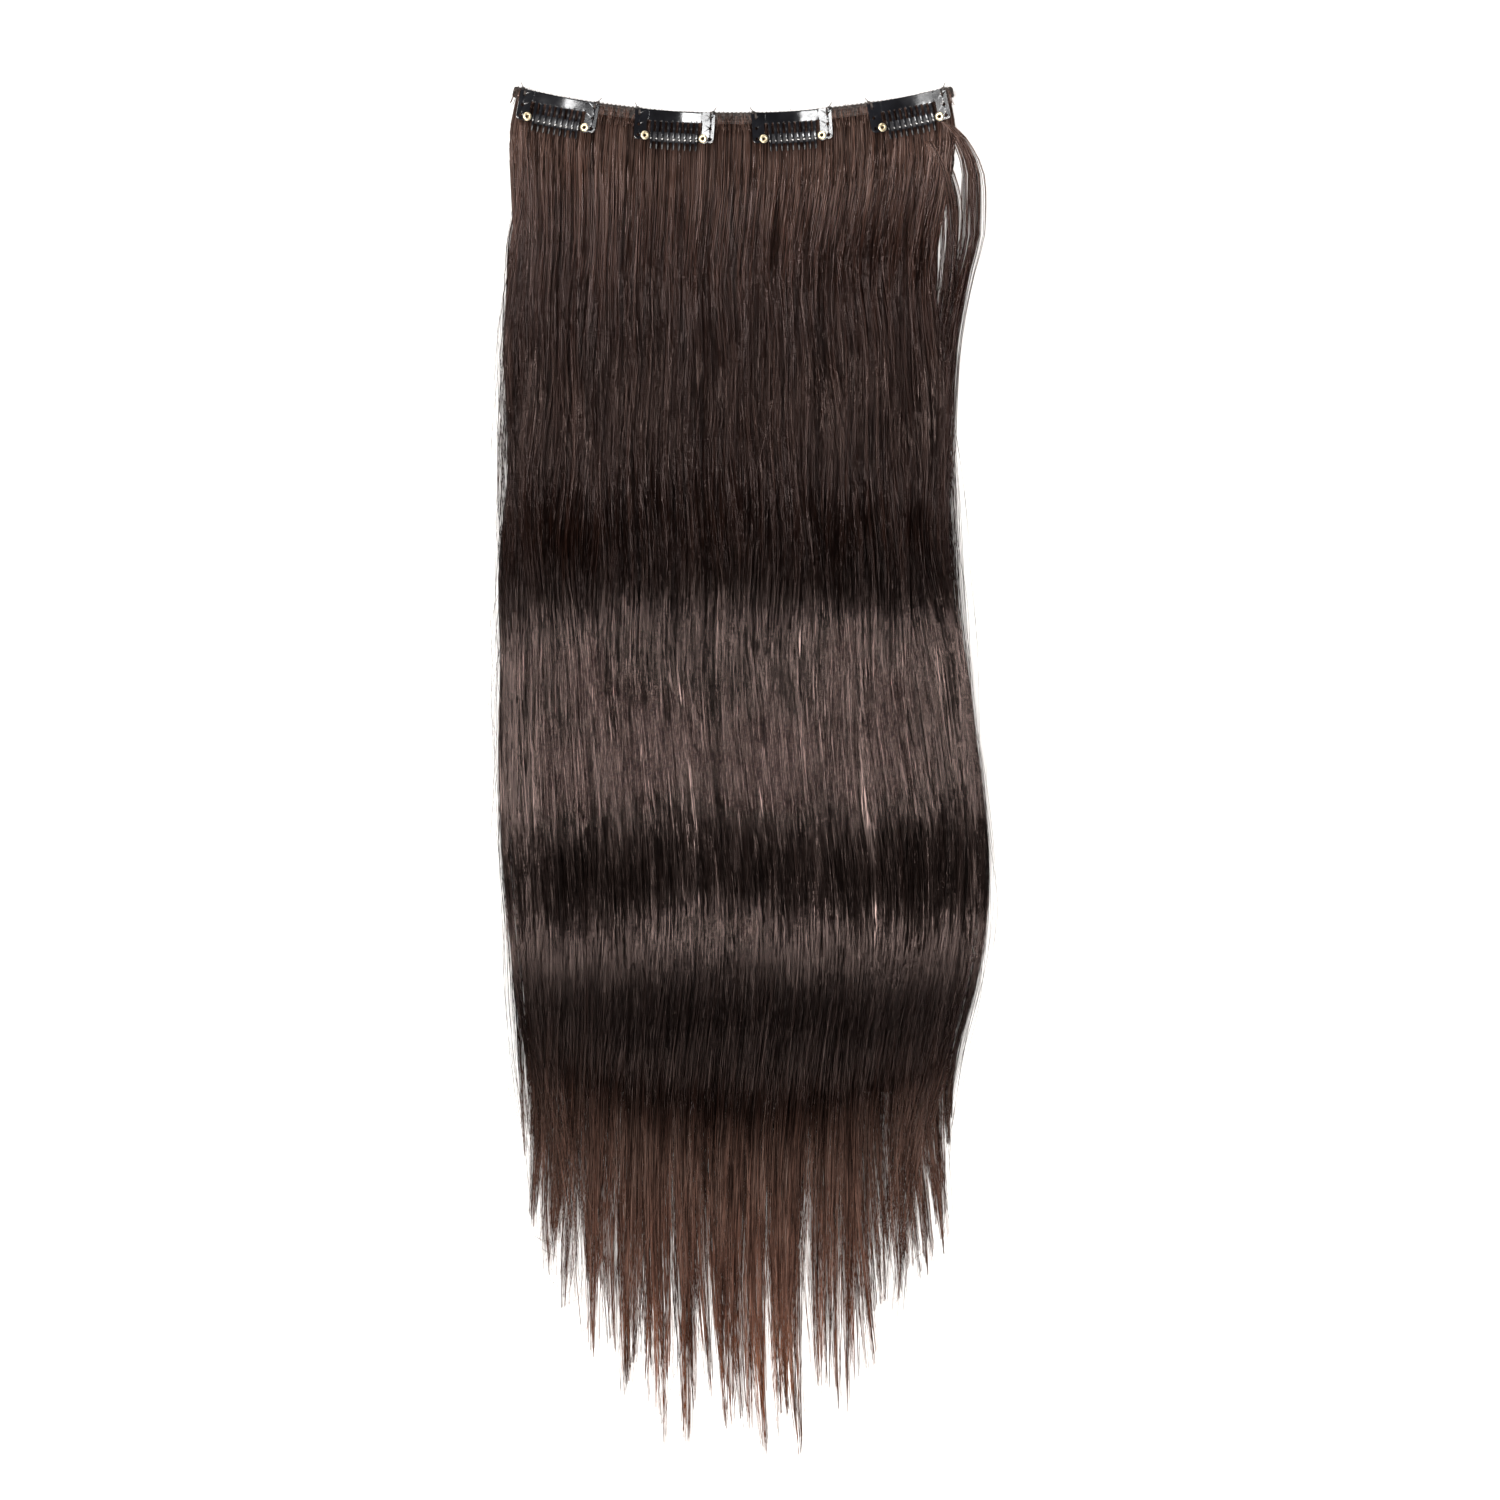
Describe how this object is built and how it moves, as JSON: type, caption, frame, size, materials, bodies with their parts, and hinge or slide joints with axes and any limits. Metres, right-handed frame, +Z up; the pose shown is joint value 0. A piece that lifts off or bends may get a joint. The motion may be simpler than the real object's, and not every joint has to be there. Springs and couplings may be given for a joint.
{
  "type": "clip-in hair extension",
  "caption": "Wide weft of long hair sewn to a narrow strip that carries a row of snap-comb clips; each comb shuts over a sleeved bar to grip the wearer's own hair.",
  "frame": {"origin": "bottom centre of the bounding box, on the surface that the weft lies on", "axes": "+Y from the hair's tips to the sewn edge, +Z up out of the surface, on the side of the clips; +X to the right when the clips face the viewer and the hair hangs down"},
  "size_m": [0.192, 0.545, 0.0105],
  "materials": {
    "hair": "satin",
    "strip": "matte",
    "black_steel": "gloss",
    "silicone": "satin",
    "brass": "satin"
  },
  "bodies": {
    "weft": {"hair_curtain": "hair", "weft_strip": "strip", "clip_1_bar": "black_steel", "clip_1_sleeve": "silicone", "clip_1_ear_left": "black_steel", "clip_1_ear_right": "black_steel", "clip_1_rivet_left": "brass", "clip_1_rivet_right": "brass", "clip_2_bar": "black_steel", "clip_2_sleeve": "silicone", "clip_2_ear_left": "black_steel", "clip_2_ear_right": "black_steel", "clip_2_rivet_left": "brass", "clip_2_rivet_right": "brass", "clip_3_bar": "black_steel", "clip_3_sleeve": "silicone", "clip_3_ear_left": "black_steel", "clip_3_ear_right": "black_steel", "clip_3_rivet_left": "brass", "clip_3_rivet_right": "brass", "clip_4_bar": "black_steel", "clip_4_sleeve": "silicone", "clip_4_ear_left": "black_steel", "clip_4_ear_right": "black_steel", "clip_4_rivet_left": "brass", "clip_4_rivet_right": "brass"},
    "comb_1": {"clip_1_comb": "black_steel"},
    "comb_2": {"clip_2_comb": "black_steel"},
    "comb_3": {"clip_3_comb": "black_steel"},
    "comb_4": {"clip_4_comb": "black_steel"}
  },
  "joints": [
    {"name": "comb_1_snap", "type": "hinge", "parent": "weft", "child": "comb_1", "pos_m": [-0.07199, 0.2685, 0.00494], "axis": [-0.982, 0.1889, 0], "range_deg": [0, 40]},
    {"name": "comb_2_snap", "type": "hinge", "parent": "weft", "child": "comb_2", "pos_m": [-0.02678, 0.26274, 0.00494], "axis": [-0.998, 0.0633, 0], "range_deg": [0, 40]},
    {"name": "comb_3_snap", "type": "hinge", "parent": "weft", "child": "comb_3", "pos_m": [0.01878, 0.26274, 0.00494], "axis": [-0.998, -0.0633, 0], "range_deg": [0, 40]},
    {"name": "comb_4_snap", "type": "hinge", "parent": "weft", "child": "comb_4", "pos_m": [0.06399, 0.2685, 0.00494], "axis": [-0.982, -0.1889, 0], "range_deg": [0, 40]}
  ]
}
